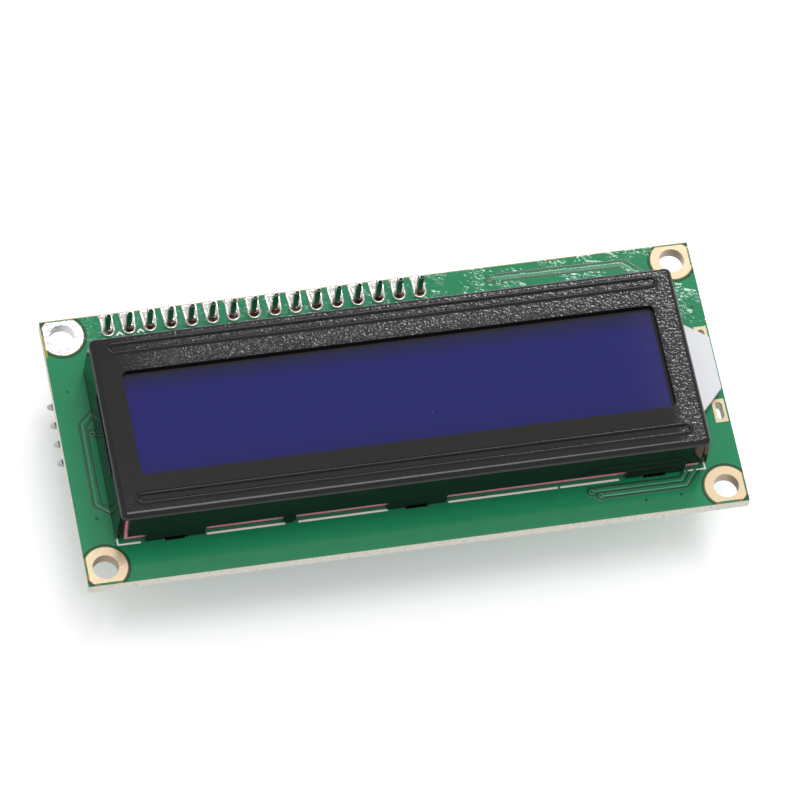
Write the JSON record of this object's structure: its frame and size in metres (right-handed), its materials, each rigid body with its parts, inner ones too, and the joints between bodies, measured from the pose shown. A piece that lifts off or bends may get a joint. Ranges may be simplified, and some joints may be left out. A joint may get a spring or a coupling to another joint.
{
  "type": "character lcd module",
  "caption": "Flat rectangular character display: black folded bezel with a long blue window on a green circuit board, pin header along one edge and a serial adapter board behind.",
  "frame": {"origin": "centre of the four mounting holes, on the front face of the main board", "axes": "+Z out of the display, +X along the pin header from the first pin to the last, +Y towards the header edge"},
  "size_m": [0.0798, 0.0356, 0.0176],
  "materials": {
    "board_green": "solder-masked fibreglass laminate, satin",
    "board_black": "black solder-masked fibreglass laminate",
    "gold_plate": "immersion gold over copper, satin",
    "bezel_black": "black textured satin paint on folded sheet steel",
    "polariser_blue": "glossy deep blue-violet film",
    "display_glass": "polished",
    "connector_pink": "pink silicone rubber",
    "diffuser_white": "translucent white film",
    "guide_clear": "clear acrylic",
    "tray_white": "smooth white moulding",
    "lamp_yellow": "phosphor-coated lamp strip",
    "resin_black": "cured black epoxy",
    "resistor_black": "glazed chip resistor with tinned ends",
    "capacitor_tan": "tan ceramic with tinned ends",
    "moulding_black": "black moulded nylon",
    "pin_tin": "bright tin plate on brass",
    "solder": "solder with traces of brown flux",
    "chip_black": "moulded chip package",
    "trimmer_blue": "blue moulded plastic",
    "rotor_white": "off-white moulded plastic",
    "led_clear": "clear resin"
  },
  "bodies": {
    "module": {"main_board": "board_green", "hole_rings": "gold_plate", "front_pads": "gold_plate", "rear_pads": "gold_plate", "bezel": "bezel_black", "front_polariser": "polariser_blue", "front_glass": "display_glass", "rear_glass": "display_glass", "rear_polariser": "polariser_blue", "front_connector": "connector_pink", "rear_connector": "connector_pink", "diffuser": "diffuser_white", "light_guide": "guide_clear", "backlight_tray": "tray_white", "backlight_led": "lamp_yellow", "controller_blob": "resin_black", "driver_blob": "resin_black", "board_resistors": "resistor_black", "board_capacitor": "capacitor_tan", "header_insulator": "moulding_black", "header_pins": "pin_tin", "header_solder": "solder", "adapter_solder": "solder", "adapter_board": "board_black", "expander_chip": "chip_black", "expander_leads": "pin_tin", "trimmer_housing": "trimmer_blue", "trimmer_pins": "pin_tin", "serial_insulator": "moulding_black", "serial_pins": "pin_tin", "jumper_insulator": "moulding_black", "jumper_pins": "pin_tin", "power_led": "led_clear", "transistor": "chip_black", "adapter_resistors": "resistor_black", "adapter_capacitor": "capacitor_tan", "wire_pads": "gold_plate"},
    "rotor": {"trimmer_rotor": "rotor_white"},
    "cap": {"jumper_cap": "moulding_black", "jumper_contact": "gold_plate"}
  },
  "joints": [
    {"name": "trimmer_turn", "type": "hinge", "parent": "module", "child": "rotor", "pos_m": [-0.0026, 0.0047, -0.0097], "axis": [0, 0, -1], "range_deg": [-120, 120]},
    {"name": "jumper_slide", "type": "slide", "parent": "module", "child": "cap", "axis": [1, 0, 0], "range_m": [0, 0.006]}
  ]
}
